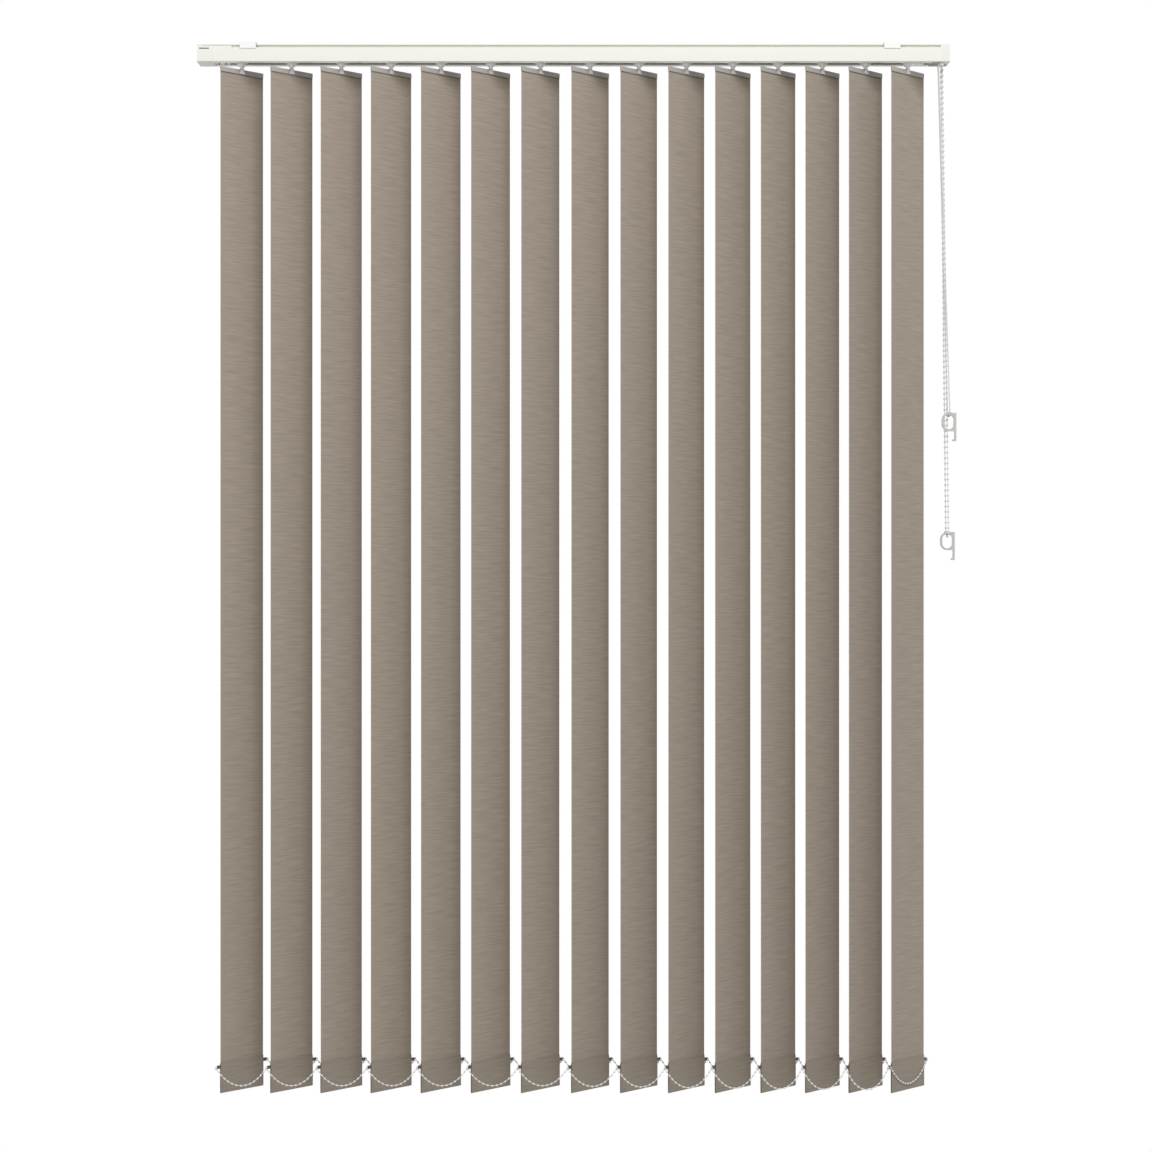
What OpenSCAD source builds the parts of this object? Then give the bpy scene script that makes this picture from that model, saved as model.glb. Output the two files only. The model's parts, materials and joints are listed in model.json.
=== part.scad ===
// Vertical blind with fabric vanes, hung from a ceiling-fixed headrail.
// X runs along the rail, -Y is the room side, +Z is up.
// The origin lies midway between the two ceiling screws, on the ceiling.

/* [Headrail] */
// Depth of the headrail from front to back
rail_d = 43; // [42:0.5:60]
// Height of the headrail
rail_h = 28; // [27:0.5:40]
// Wall of the extruded rail
rail_wall = 1.4; // [1:0.1:1.8]
// Height of the clip groove under the top lip
groove_h = 4.2; // [3.6:0.1:5]
// Depth of the clip groove from the front face
groove_d = 4; // [3:0.1:4.5]
// How far the top lip stands back from the front face
lip_setback = 1; // [0.5:0.1:1.5]
// Width of the slot that the carriers hang through
slot_w = 17; // [16:0.5:20]
// Radius of the rail's lower corners
rail_corner_r = 1.5; // [0.8:0.1:2.5]

/* [End caps] */
// Length of the cap at the idler end
idler_cap_l = 26; // [24:0.5:40]
// Length of the plug of the idler cap inside the rail
idler_plug_l = 5; // [3:0.5:8]
// Length of the cap at the control end
control_cap_l = 15; // [14:0.5:24]
// End wall of the control cap
control_wall = 3; // [2.6:0.1:4]
// How deep the tilt rod's bearing reaches into that wall
bearing_depth = 2; // [1.5:0.1:2]
// Wall of the plug that carries the cord pulleys
plug_wall = 2; // [1.6:0.1:2.2]
// Radius of the boss that guides the cord out of the rail
guide_r = 4.2; // [3.8:0.1:4.2]
// How far the boss lies below the rail
guide_drop = 0.8; // [0.5:0.1:1]
// Length of the tongues that the idler cap pushes along the grooves
tongue_l = 55; // [40:1:70]
// Thickness of the tongues
tongue_t = 2.2; // [1.5:0.1:2.8]
// Cap end to the relief under each tongue
relief_inset = 3; // [2:0.5:6]
// Length of the reliefs
relief_l = 16; // [8:0.5:18]
// Height of the reliefs
relief_h = 1.8; // [1:0.1:2.4]

/* [Ceiling brackets] */
// Width of a bracket along the rail
bracket_w = 26; // [18:1:40]
// Sheet thickness of a bracket
bracket_t = 1.2; // [1:0.1:1.6]
// Room for the screw heads between bracket and rail
bracket_rise = 3; // [2:0.1:5]
// How far the bracket's lips hang over the rail's faces
bracket_lip = 1; // [0.5:0.1:4]
// Ceiling screw hole
screw_d = 4.5; // [3.5:0.1:6]
// Rail end to bracket centre at the idler end
bracket_inset_idler = 81; // [75:1:160]
// Rail end to bracket centre at the control end
bracket_inset_control = 92; // [60:1:160]

/* [Vanes] */
// Number of vanes
vane_count = 15; // [4:1:15]
// Width of a vane
vane_w = 89; // [80:1:96]
// Length of a vane
vane_l = 1632; // [1200:1:2400]
// Thickness of the fabric
fabric_t = 0.6; // [0.4:0.05:0.8]
// Turn of the vanes from the rail's direction
vane_angle = 48; // [10:1:170]
// Gap between the rail and the vane tops
vane_drop = 10; // [9:0.5:14]
// Carrier spacing with the spacer drawn tight
full_pitch = 79.7; // [76:0.1:82]
// Number of spacers drawn tight, from the lead carrier
taut_gaps = 7; // [0:1:14]
// How much shorter each later spacing is than the one before
slack_step = 1.77; // [0:0.01:1.8]
// Rail end to the first vane's axis
first_inset = 69; // [68:0.5:90]
// Last vane's axis to the rail end
last_inset = 65; // [64:0.5:90]
// Height of the bottom pocket
pocket_h = 50; // [46:0.5:60]
// Height of the seam above the weight
seam_h = 5; // [3:0.5:5]
// Thickness of the filled bottom pocket
pocket_t = 2.8; // [2.6:0.05:3.2]
// How far the pocket's ends flare past the vane's edges
pocket_flare = 1.2; // [0:0.1:2]

/* [Bottom weights] */
// Thickness of a weight plate
weight_t = 1.6; // [1.2:0.05:1.6]
// Length of the chain tabs past the vane's edges
tab_l = 7.5; // [4:0.1:8]
// Height of the chain tabs
tab_h = 6; // [3:0.1:6]
// Tab's middle below the top of the seam
tab_drop = 8; // [8:0.5:14]

/* [Hangers and hooks] */
// Height of the hanger strip
hanger_h = 7.5; // [7:0.1:12]
// Wall of the hanger strip
hanger_wall = 0.8; // [0.6:0.05:1]
// Diameter of the hook's stem
stem_d = 6; // [5:0.1:6.4]
// Diameter of the worm wheel at the top of the stem
gear_d = 9.6; // [8.6:0.1:10]
// Height of the worm wheel
gear_h = 5; // [4:0.1:5.4]
// Width of the hook's yoke
yoke_w = 9.6; // [8:0.1:11]
// Wall of the yoke's two prongs
prong_t = 0.7; // [0.5:0.05:0.8]
// Thickness of the yoke's bridge
bridge_t = 1.5; // [1:0.1:2]
// Diameter of the pin that carries the hanger
hook_pin_d = 2.4; // [1.8:0.1:3]
// Pin centre below the vane's top edge
hook_pin_drop = 3.4; // [3:0.1:4.4]

/* [Carriers] */
// Length of a carrier along the rail
truck_l = 19; // [17.4:0.1:19.6]
// Width of a carrier's body
truck_w = 28; // [27:0.5:30]
// Room above a carrier's body, below the top of the rail
truck_headroom = 8.3; // [7.6:0.1:9]
// Wheel diameter
wheel_d = 8.4; // [7:0.1:8.8]
// Wheel width
wheel_w = 3; // [2:0.1:3.2]
// Diameter of the carrier's neck in the slot
neck_d = 14.4; // [13:0.1:15]
// Diameter of the neck's lower tip
neck_tip_d = 9.2; // [8.4:0.1:12]
// Length of the tapered neck below the rail
neck_l = 4.6; // [3:0.1:5.5]
// Length that the lead carrier adds towards the idler end
lead_l = 34; // [30:0.5:36]
// Length of the lead carrier's cord clamp
clamp_l = 14; // [10:0.5:16]
// Wall of the cord clamp
clamp_wall = 1.2; // [0.8:0.1:1.5]
// Length that the end carrier's foot adds towards the control end
end_foot_l = 16; // [8:0.5:18]

/* [Spacers] */
// Thickness of a spacer strip
spacer_t = 0.35; // [0.25:0.05:0.4]
// Width of a spacer strip
spacer_w = 5.7; // [4:0.1:5.7]
// Step between the layers that the strips slide in
spacer_step = 0.65; // [0.6:0.05:0.7]
// Width of the post that a strip is welded to
post_w = 2; // [1.5:0.1:2]

/* [Tilt drive] */
// Diameter of the tilt rod
rod_d = 5.6; // [5:0.1:6]
// Tilt rod behind the rail's middle plane
rod_y = 9; // [8.7:0.1:9.5]
// Tilt rod below the top of the rail
rod_drop = 14.8; // [14:0.1:15.4]
// Radius on which the bead chain runs over its wheel
wheel_pitch_r = 7.5; // [7:0.1:7.8]
// Width of the chain wheel
wheel_l = 6.6; // [6.2:0.1:7]
// Height of the wheel's rims above the chain's middle
wheel_rim = 1.5; // [1:0.1:1.8]
// Middle of the chain wheel past the end of the rail
wheel_offset = 5.5; // [5:0.1:6]
// Room round the chain wheel
wheel_room = 3.5; // [3:0.1:4]

/* [Traverse cord] */
// Diameter of the traverse cord
cord_d = 1.8; // [1.4:0.1:1.8]
// Radius on which the cord runs over its pulleys
pulley_pitch_r = 4.5; // [4.4:0.05:4.6]
// Width of a pulley
pulley_l = 4; // [3.4:0.1:4]
// Axle of a pulley
axle_d = 2.4; // [2:0.1:2.6]
// Height of a pulley's rim above the cord's middle
pulley_rim = 1.1; // [0.9:0.1:1.2]
// Cord's fall before the end of the rail
fall_inset = 2; // [1.9:0.05:2.1]
// Middle of the two cord runs, in front of the rail's middle plane
cord_mid = 9; // [8.9:0.05:9.1]
// Cord runs below the top of the rail
cord_drop = 4; // [3.9:0.05:4.1]

/* [Bead chains] */
// Bead diameter of the bottom chains
bead_d = 3.2; // [2.6:0.1:3.6]
// Bead spacing of the bottom chains
bead_pitch = 7.3; // [7:0.1:9]
// Diameter of the bottom chains' links
link_d = 1; // [0.8:0.1:1.2]
// Beads from one vane to the next
swag_beads = 14; // [12:1:18]
// Length of the last chain, across the end vane, over its straight reach
end_slack = 1.1; // [1.06:0.01:1.3]
// Bead diameter of the control chain
control_bead_d = 3.8; // [3:0.1:3.8]
// Diameter of the control chain's links
control_link_d = 1.2; // [0.8:0.1:1.2]
// Number of beads on the control chain, an even number
control_beads = 182; // [160:2:220]

/* [Hold-down clips] */
// Height of a hold-down clip's plate
clip_h = 45; // [42:0.5:60]
// Width of a clip's loop
clip_loop_w = 22; // [18:0.5:26]
// Height of a clip's loop
clip_loop_h = 29; // [26:0.5:32]
// Thickness of a clip's strip
clip_t = 3; // [2:0.1:4]
// Depth of a clip from front to back
clip_d = 6; // [5.6:0.1:6.2]
// Radius of the saddle that cord or chain runs under
saddle_r = 3; // [2.4:0.1:3]
// Length of the saddle
saddle_l = 9; // [7:0.5:12]
// Screw hole of a clip
clip_screw_d = 3.5; // [3:0.1:4.5]
// Rail end to the wall that the clips are screwed to
reveal_gap = 11.5; // [8:0.5:20]
// How far a clip's loop stands off the wall
clip_stand = 1; // [0.5:0.1:2]
// Cord clip's saddle below the ceiling
cord_clip_drop = 593; // [400:1:900]
// Chain clip's saddle below the ceiling
chain_clip_drop = 783; // [500:1:1100]

/* [Hidden] */
$fn = 48;
run_gap = 0.3;
fit_gap = 0.1;
plug_gap = 0.2;
merge = 0.5;
past = 1;
spacer_layers = 5;
snap_gap = 1;
pulley_room = 1;
notch_l = 4;

// Heights
rail_top = -bracket_t - bracket_rise;
rail_bot = rail_top - rail_h;
shoulder_z = rail_top - rail_wall - groove_h;
chamber_top = shoulder_z - rail_wall;
lip_top = rail_bot + rail_wall;
vane_top = rail_bot - vane_drop;
vane_bot = vane_top - vane_l;
cord_z = rail_top - cord_drop;
rod_z = rail_top - rod_drop;
truck_top = rail_top - truck_headroom;
truck_bot = lip_top + 3 * run_gap;
wheel_z = lip_top + run_gap + wheel_d / 2;
tab_z = vane_bot + pocket_h - tab_drop;

// Half widths across the rail
rail_half = rail_d / 2;
chamber_half = rail_half - rail_wall;
neck_half = rail_half - groove_d;
crown_half = neck_half - rail_wall;
lip_half = rail_half - lip_setback;

// Places along the rail
function slack(i) = max(0, i - 1 - taut_gaps);
function vane_run(i) = (i - 1) * full_pitch - slack_step * slack(i) * (slack(i) + 1) / 2;
rail_l = first_inset + vane_run(vane_count) + last_inset;
bracket_span = rail_l - bracket_inset_idler - bracket_inset_control;
rail_left = -bracket_span / 2 - bracket_inset_idler;
rail_right = rail_left + rail_l;
rail_x0 = rail_left + idler_cap_l;
rail_x1 = rail_right - control_cap_l;
function vane_x(i) = rail_left + first_inset + vane_run(i);
middle_vane = ceil(vane_count / 2);

// Control end
wheel_x = rail_x1 + wheel_offset;
cord_fall_x = rail_x1 - fall_inset;
pulley_x = cord_fall_x - pulley_pitch_r;
pulley_z = cord_z - pulley_pitch_r;
pulley_rim_r = pulley_pitch_r + pulley_rim;
pulley_root_r = pulley_pitch_r - cord_d / 2 - run_gap;
control_plug_x = pulley_x - pulley_rim_r - plug_wall;
idler_pulley_x = rail_left + idler_cap_l / 2;
cord_front = -cord_mid - pulley_pitch_r;
cord_back = -cord_mid + pulley_pitch_r;
guide_x = cord_fall_x + cord_d / 2 + fit_gap + guide_r;

// Hangers, hooks and weights
hanger_half = fabric_t / 2 + fit_gap + hanger_wall;
yoke_half = hanger_half + fit_gap + prong_t;
hanger_top = vane_top + hanger_wall;
yoke_top = hanger_top + fit_gap + bridge_t;
gear_z = rod_z - gear_h / 2;
hook_pin_z = vane_top - hook_pin_drop;
pocket_half = pocket_t / 2;
pocket_hollow = weight_t / 2 + fit_gap;
pocket_top = vane_bot + pocket_h - seam_h;

// Bottom chains hang from a bead at the end of each tab
tab_tip = vane_w / 2 + tab_l;
clip_r = tab_tip + bead_d / 2 + 2 * fit_gap;
swag_l = swag_beads * bead_pitch;
end_beads = ceil(2 * end_slack * tab_tip / bead_pitch);

// Hold-down clips
wall_x = rail_right + reveal_gap;
saddle_x = wall_x - clip_loop_w / 2 - clip_stand;
chain_turn_r = saddle_r + control_bead_d / 2 + 2 * run_gap;

// Route of the traverse cord: from the lead carrier over the front pulley, down round
// the cord clip, up over the back pulley, along the rail and round the idler pulley.
cord_route = [
    [-552, -13.5, -8.2], [-200, -13.5, -8.2], [200, -13.5, -8.2], [584.1, -13.5, -8.2],
    [586.4, -13.5, -8.8], [588, -13.5, -10.5], [588.6, -13.5, -12.7], [588.6, -13.5, -34],
    [593, -13.4, -190], [599, -13.3, -390], [604.9, -13.2, -585], [605.1, -13.2, -593],
    [605.1, -12.6, -595.1], [605.1, -11.1, -596.6], [605.1, -9, -597.2], [605.1, -6.9, -596.6],
    [605.1, -5.4, -595.1], [605.1, -4.8, -593], [604.9, -4.8, -585], [599, -4.7, -390],
    [593, -4.6, -190], [588.6, -4.5, -34], [588.6, -4.5, -12.7], [588, -4.5, -10.5],
    [586.4, -4.5, -8.8], [584.1, -4.5, -8.2], [200, -4.5, -8.2], [-200, -4.5, -8.2],
    [-581.6, -4.5, -8.2], [-583.9, -5.1, -8.2], [-585.5, -6.7, -8.2], [-586.1, -9, -8.2],
    [-585.5, -11.3, -8.2], [-583.9, -12.9, -8.2], [-581.6, -13.5, -8.2], [-558, -13.5, -8.2],
];
cord_sides = 8;

function id(kind, i) = str(kind, "_", i < 10 ? "0" : "", i);

// Extrudes a Y-Z profile along the rail from x0 to x1
module along_x(x0, x1) {
    translate([x0, 0, 0]) rotate([90, 0, 90]) linear_extrude(x1 - x0) children();
}

// A round bar along X, Y or Z, centred on a point
module bar_x(at, r, l) {
    translate(at) rotate([0, 90, 0]) cylinder(r = r, h = l, center = true);
}

module bar_y(at, r, l) {
    translate(at) rotate([90, 0, 0]) cylinder(r = r, h = l, center = true);
}

// A box given by its two corners
module block(from, to) {
    translate(from) cube(to - from);
}

// A rectangle given by its two corners
module field(from, to) {
    translate(from) square(to - from);
}

// Body of the rail with its lower corners rounded, up to a given height
module rail_body(top) {
    field([-rail_half, rail_bot + rail_corner_r], [rail_half, top]);
    field([-rail_half + rail_corner_r, rail_bot], [rail_half - rail_corner_r, top]);
    for (side = [-1, 1])
        translate([side * (rail_half - rail_corner_r), rail_bot + rail_corner_r])
            circle(r = rail_corner_r);
}

// Outer profile of the rail, with the clip grooves under the top lips
module rail_outline() {
    rail_body(shoulder_z);
    field([-neck_half, shoulder_z - rail_wall], [neck_half, rail_top]);
    field([-lip_half, rail_top - rail_wall], [lip_half, rail_top]);
}

// Chamber, crown and slot inside the rail
module rail_hollow() {
    field([-chamber_half, lip_top], [chamber_half, chamber_top]);
    field([-crown_half, lip_top], [crown_half, rail_top - rail_wall]);
    field([-slot_w / 2, rail_bot - past], [slot_w / 2, lip_top + merge]);
}

// Extruded aluminium rail, with the slot opened out above the cord outlet
module headrail() {
    color("ivory") difference() {
        along_x(rail_x0, rail_x1) difference() {
            rail_outline();
            rail_hollow();
        }
        block([control_plug_x - past, -chamber_half, rail_bot - past],
            [rail_x1 + past, chamber_half, lip_top + fit_gap]);
    }
}

// Cap with the return pulley's chamber, the tilt rod's bearing and two groove tongues
module idler_end_cap() {
    pocket_r = pulley_rim_r + pulley_room;
    pocket_half_h = pulley_l / 2 + run_gap;
    tongue_y = neck_half + plug_gap;
    bearing_x = rail_left + idler_cap_l / 4;
    color("ivory") {
        difference() {
            union() {
                along_x(rail_left, rail_x0) rail_outline();
                along_x(rail_x0 - merge, rail_x0 + idler_plug_l)
                    field([-chamber_half + plug_gap, lip_top + plug_gap],
                        [chamber_half - plug_gap, chamber_top - plug_gap]);
                for (side = [-1, 1])
                    along_x(rail_left, rail_left + tongue_l)
                        translate([side * (tongue_y + tongue_t / 2), 0])
                            field([-tongue_t / 2, shoulder_z + run_gap],
                                [tongue_t / 2, rail_top - rail_wall - run_gap]);
                for (side = [-1, 1])
                    along_x(rail_left, rail_left + idler_cap_l / 3)
                        translate([side * (neck_half + tongue_t / 2), 0])
                            field([-tongue_t / 2 - merge, shoulder_z - merge],
                                [tongue_t / 2 + merge, rail_top - rail_wall / 2]);
            }
            for (side = [-1, 1])
                along_x(rail_left + relief_inset, rail_left + relief_inset + relief_l)
                    translate([side * (rail_half + past), 0])
                        field([-groove_d - past, shoulder_z - relief_h],
                            [groove_d + past, shoulder_z + run_gap]);
            translate([idler_pulley_x, -cord_mid, cord_z - pocket_half_h])
                cylinder(r = pocket_r, h = 2 * pocket_half_h);
            block([idler_pulley_x, -cord_mid - pocket_r, cord_z - pocket_half_h],
                [rail_x0 + idler_plug_l + past, -cord_mid + pocket_r, cord_z + pocket_half_h]);
            translate([(bearing_x + rail_x1) / 2, rod_y, rod_z]) rotate([0, 90, 0])
                cylinder(r = rod_d / 2 + run_gap, h = rail_x1 - bearing_x, center = true);
        }
        translate([idler_pulley_x, -cord_mid, cord_z])
            cylinder(d = axle_d, h = 2 * (pocket_half_h + merge), center = true);
    }
}

// Control unit: end wall with the wheel chamber, and a plug that carries the cord pulleys
module control_end_cap() {
    chamber_y0 = rod_y - wheel_pitch_r - wheel_room;
    plug_back = cord_back + pulley_l / 2 + plug_wall;
    slot_half = pulley_l / 2 + plug_gap;
    color("ivory") {
        difference() {
            union() {
                along_x(rail_x1, rail_right) rail_body(rail_top);
                along_x(control_plug_x, rail_x1 + merge)
                    field([-chamber_half + plug_gap, lip_top + plug_gap],
                        [plug_back, chamber_top - plug_gap]);
                bar_y([guide_x, -cord_mid, rail_bot - guide_drop], guide_r,
                    2 * pulley_pitch_r + pulley_l + past);
            }
            block([rail_x1 - past, chamber_y0, rail_bot - past],
                [rail_right - control_wall, chamber_half, rail_top - rail_wall]);
            for (y = [cord_front, cord_back])
                block([pulley_x - pulley_rim_r - merge, y - slot_half, rail_bot - past],
                    [rail_x1, y + slot_half, rail_top]);
            bar_x([rail_right - control_wall, rod_y, rod_z], rod_d / 2 + run_gap, 2 * bearing_depth);
        }
        bar_y([pulley_x, (plug_back - chamber_half + plug_gap) / 2, pulley_z], axle_d / 2,
            plug_back + chamber_half - plug_gap);
    }
}

// One sheet-metal bracket: a plate under the ceiling with lips that snap into the grooves
module ceiling_bracket() {
    lip_in = rail_half + plug_gap;
    lip_out = lip_in + bracket_t;
    hook_top = rail_top - rail_wall - plug_gap;
    difference() {
        along_x(-bracket_w / 2, bracket_w / 2) {
            field([-lip_out, -bracket_t], [lip_out, 0]);
            for (side = [-1, 1])
                scale([side, 1]) {
                    field([lip_in, shoulder_z - bracket_lip], [lip_out, 0]);
                    field([neck_half + snap_gap, hook_top - bracket_t], [lip_in + merge, hook_top]);
                }
        }
        translate([0, 0, -bracket_t - past]) cylinder(d = screw_d, h = bracket_t + 2 * past);
    }
}

module ceiling_brackets() {
    color("whitesmoke")
        for (side = [-1, 1])
            translate([side * bracket_span / 2, 0, 0]) ceiling_bracket();
}

// Grooved aluminium rod from the idler bearing to the control cap's bearing
module tilt_rod() {
    x0 = rail_left + idler_cap_l / 4 + past;
    x1 = rail_right - control_wall + bearing_depth - merge;
    color("silver") translate([0, rod_y, rod_z]) along_x(x0, x1) difference() {
        circle(d = rod_d);
        for (turn = [45 : 90 : 315])
            rotate(turn) translate([rod_d / 2, 0]) circle(r = rod_d / 9);
    }
}

// Chain wheel: two flanges and a groove that the beads run in
module chain_wheel() {
    root_r = wheel_pitch_r - control_bead_d / 2 - run_gap;
    rim_r = wheel_pitch_r + wheel_rim;
    bore_r = rod_d / 2 + fit_gap / 2;
    groove_half = control_bead_d / 2 + run_gap;
    flank = groove_half + run_gap;
    color("white") translate([wheel_x, rod_y, rod_z]) rotate([0, 90, 0])
        rotate_extrude()
            polygon([[bore_r, -wheel_l / 2], [rim_r, -wheel_l / 2], [rim_r, -flank],
                [root_r, -groove_half], [root_r, groove_half], [rim_r, flank],
                [rim_r, wheel_l / 2], [bore_r, wheel_l / 2]]);
}

// A cord pulley about its own axis, with a groove wide enough for the cord
module cord_pulley() {
    bore_r = axle_d / 2 + plug_gap;
    groove_half = cord_d / 2 + run_gap;
    mouth_half = groove_half + plug_gap;
    rotate_extrude()
        polygon([[bore_r, -pulley_l / 2], [pulley_rim_r, -pulley_l / 2], [pulley_rim_r, -mouth_half],
            [pulley_root_r, -groove_half], [pulley_root_r, groove_half], [pulley_rim_r, mouth_half],
            [pulley_rim_r, pulley_l / 2], [bore_r, pulley_l / 2]]);
}

module idler_pulley() {
    color("white") translate([idler_pulley_x, -cord_mid, cord_z]) cord_pulley();
}

module cord_pulley_front() {
    color("white") translate([pulley_x, cord_front, pulley_z]) rotate([90, 0, 0]) cord_pulley();
}

module cord_pulley_back() {
    color("white") translate([pulley_x, cord_back, pulley_z]) rotate([90, 0, 0]) cord_pulley();
}

// A spacer strip reaches from its carrier over the one before it, each in its own layer
function spacer_z(i) = truck_top + run_gap + (i % spacer_layers) * spacer_step;
post_y = truck_w / 2 - post_w;

module spacer(i) {
    low = spacer_z(i);
    high = low + spacer_t;
    block([-full_pitch - truck_l / 5, post_y - run_gap - spacer_w, low],
        [truck_l / 4, post_y - run_gap, high]);
    block([-truck_l / 6, post_y - run_gap - merge, low], [truck_l / 6, truck_w / 2, high]);
}

// Post on the carrier that its spacer strip is welded to
module spacer_post(i) {
    block([-truck_l / 6, post_y, truck_top - merge], [truck_l / 6, truck_w / 2, spacer_z(i) - fit_gap]);
}

// The lead carrier's arm holds the traverse cord in a clamp
module lead_arm() {
    clamp_r = cord_d / 2 + plug_gap + clamp_wall;
    difference() {
        union() {
            block([-lead_l, -truck_w / 2, truck_bot], [0, truck_w / 4, rod_z]);
            block([-lead_l, -neck_d / 2, rail_bot], [-truck_l, neck_d / 4, truck_bot + merge]);
            block([-lead_l, cord_front - clamp_r, rod_z - merge],
                [-lead_l + clamp_l, cord_front + clamp_r, cord_z + clamp_r]);
        }
        bar_x([-lead_l, cord_front, cord_z], cord_d / 2 + plug_gap, 3 * clamp_l);
        block([-truck_l - 2 * notch_l, -neck_d, rail_bot - past],
            [-truck_l - notch_l, neck_d, truck_bot]);
    }
}

// A four-wheeled carrier: it runs on the rail's lips and turns the hook by a worm drive
module carrier(i) {
    color("white") translate([vane_x(i), 0, 0]) {
        difference() {
            union() {
                along_x(-truck_l / 2, truck_l / 2)
                    field([-truck_w / 2, truck_bot], [truck_w / 2, truck_top]);
                translate([0, 0, rail_bot - run_gap])
                    cylinder(d = neck_d, h = truck_bot - rail_bot + 2 * run_gap);
                translate([0, 0, rail_bot - run_gap - neck_l])
                    cylinder(d1 = neck_tip_d, d2 = neck_d, h = neck_l);
                for (x = [-1, 1])
                    bar_y([x * truck_l / 4, 0, wheel_z], wheel_d / 2, truck_w + 2 * wheel_w);
                if (i == 1)
                    lead_arm();
                if (i > 1)
                    spacer_post(i);
                if (i == vane_count)
                    block([0, -neck_d / 2, rail_bot - run_gap],
                        [truck_l / 2 + end_foot_l, neck_d / 2, truck_bot + merge]);
            }
            translate([0, 0, rail_bot - 2 * neck_l])
                cylinder(d = stem_d + 2 * run_gap, h = rail_h);
            translate([0, 0, gear_z - fit_gap])
                cylinder(d = gear_d + 2 * run_gap, h = truck_top - gear_z + past);
            bar_x([0, rod_y, rod_z], rod_d / 2 + run_gap, 4 * truck_l);
        }
        if (i > 1)
            spacer(i);
    }
}

// Places a piece on a vane's axis, turned with the vane
module on_vane(i) {
    translate([vane_x(i), 0, 0]) rotate([0, 0, vane_angle]) children();
}

// Extrudes an outline across a vane, centred on its axis
module across(w) {
    along_x(-w / 2, w / 2) children();
}

// Hook with worm wheel, stem and forked yoke; its pin passes through the hanger
module hook() {
    difference() {
        union() {
            translate([0, 0, gear_z]) cylinder(d = gear_d, h = gear_h);
            translate([0, 0, yoke_top - merge]) cylinder(d = stem_d, h = gear_z - yoke_top + 2 * merge);
            block([-yoke_w / 2, -yoke_half, hook_pin_z - hook_pin_d],
                [yoke_w / 2, yoke_half, yoke_top]);
        }
        block([-yoke_w, -hanger_half - fit_gap, hook_pin_z - 2 * hook_pin_d],
            [yoke_w, hanger_half + fit_gap, hanger_top + fit_gap]);
    }
    bar_y([0, 0, hook_pin_z], hook_pin_d / 2, 2 * yoke_half);
}

// Plastic hanger strip folded over the top edge of the vane
module hanger_strip() {
    difference() {
        across(vane_w) difference() {
            field([-hanger_half, hanger_top - hanger_h], [hanger_half, hanger_top]);
            field([-hanger_half + hanger_wall, hanger_top - hanger_h - past],
                [hanger_half - hanger_wall, vane_top]);
        }
        bar_y([0, 0, hook_pin_z], hook_pin_d / 2 + run_gap, 4 * yoke_half);
    }
}

module hanger(i) {
    on_vane(i) {
        color("white") hook();
        color("gainsboro") hanger_strip();
    }
}

// Fabric vane with a sewn bottom pocket, open at both ends
module fabric() {
    fabric_half = fabric_t / 2;
    difference() {
        across(vane_w)
            field([-fabric_half, vane_bot + pocket_h - merge], [fabric_half, vane_top - fit_gap]);
        bar_y([0, 0, hook_pin_z], hook_pin_d / 2 + run_gap, 4 * yoke_half);
    }
    across(vane_w + 2 * pocket_flare) difference() {
        union() {
            polygon([[-pocket_half, vane_bot + pocket_half], [pocket_half, vane_bot + pocket_half],
                [pocket_half, pocket_top], [fabric_half, vane_bot + pocket_h],
                [-fabric_half, vane_bot + pocket_h], [-pocket_half, pocket_top]]);
            translate([0, vane_bot + pocket_half]) circle(r = pocket_half);
        }
        field([-pocket_hollow, vane_bot + pocket_half - fit_gap],
            [pocket_hollow, pocket_top + fit_gap]);
    }
}

// Weight plate in the pocket, with a tab at each end for the bottom chains
module weight() {
    across(vane_w)
        field([-weight_t / 2, vane_bot + pocket_half], [weight_t / 2, pocket_top]);
    across(2 * tab_tip)
        field([-weight_t / 2, tab_z - tab_h / 2], [weight_t / 2, tab_z + tab_h / 2]);
}

// The front chain's last length lies against the end vane, from its front tab to its back tab
module end_swag() {
    reach = tab_tip - bead_d / 2;
    y = -pocket_half - bead_d / 2 - plug_gap;
    bead_run(swag([-reach, y, tab_z], [reach, y, tab_z], end_beads * bead_pitch, end_beads), bead_d,
        link_d);
}

module vane(i) {
    on_vane(i) {
        color("tan") fabric();
        color("dimgray") weight();
        if (i == vane_count)
            color("white") end_swag();
    }
}

// Points along a chain of length l that hangs between two points at one height
function asinh(v) = ln(v + sqrt(v * v + 1));
function hang_span(a, l) = 2 * a * asinh(l / (2 * a));
function hang_size(s, l, low, high, turns) =
    let(mid = (low + high) / 2)
    turns == 0 ? mid
    : hang_span(mid, l) > s ? hang_size(s, l, low, mid, turns - 1)
    : hang_size(s, l, mid, high, turns - 1);
function swag(p, q, l, n) =
    let(s = norm(q - p), a = hang_size(s, l, s / 100, 10 * s, 50))
    [for (k = [0 : n])
        let(t = l * (k / n - 1 / 2), u = 1 / 2 + a * asinh(t / a) / s)
        p + u * (q - p) + [0, 0, sqrt(a * a + t * t) - sqrt(a * a + l * l / 4)]];

// Turns a shape that stands on Z so that it runs from one point towards the next
module towards(at, next) {
    v = next - at;
    translate(at) rotate([0, acos(v[2] / norm(v)), atan2(v[1], v[0])]) children();
}

// A link between two beads
module bead_link(at, next, d, link) {
    towards(at, next) translate([0, 0, d / 3]) cylinder(d = link, h = norm(next - at) - 2 * d / 3);
}

// A bead at a point, with its link to the next point
module bead(at, next, d, link) {
    towards(at, next) rotate_extrude() {
        intersection() {
            circle(d = d);
            field([0, -d], [d, d]);
        }
        field([0, 0], [link / 2, norm(next - at) - d / 3]);
    }
}

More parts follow.
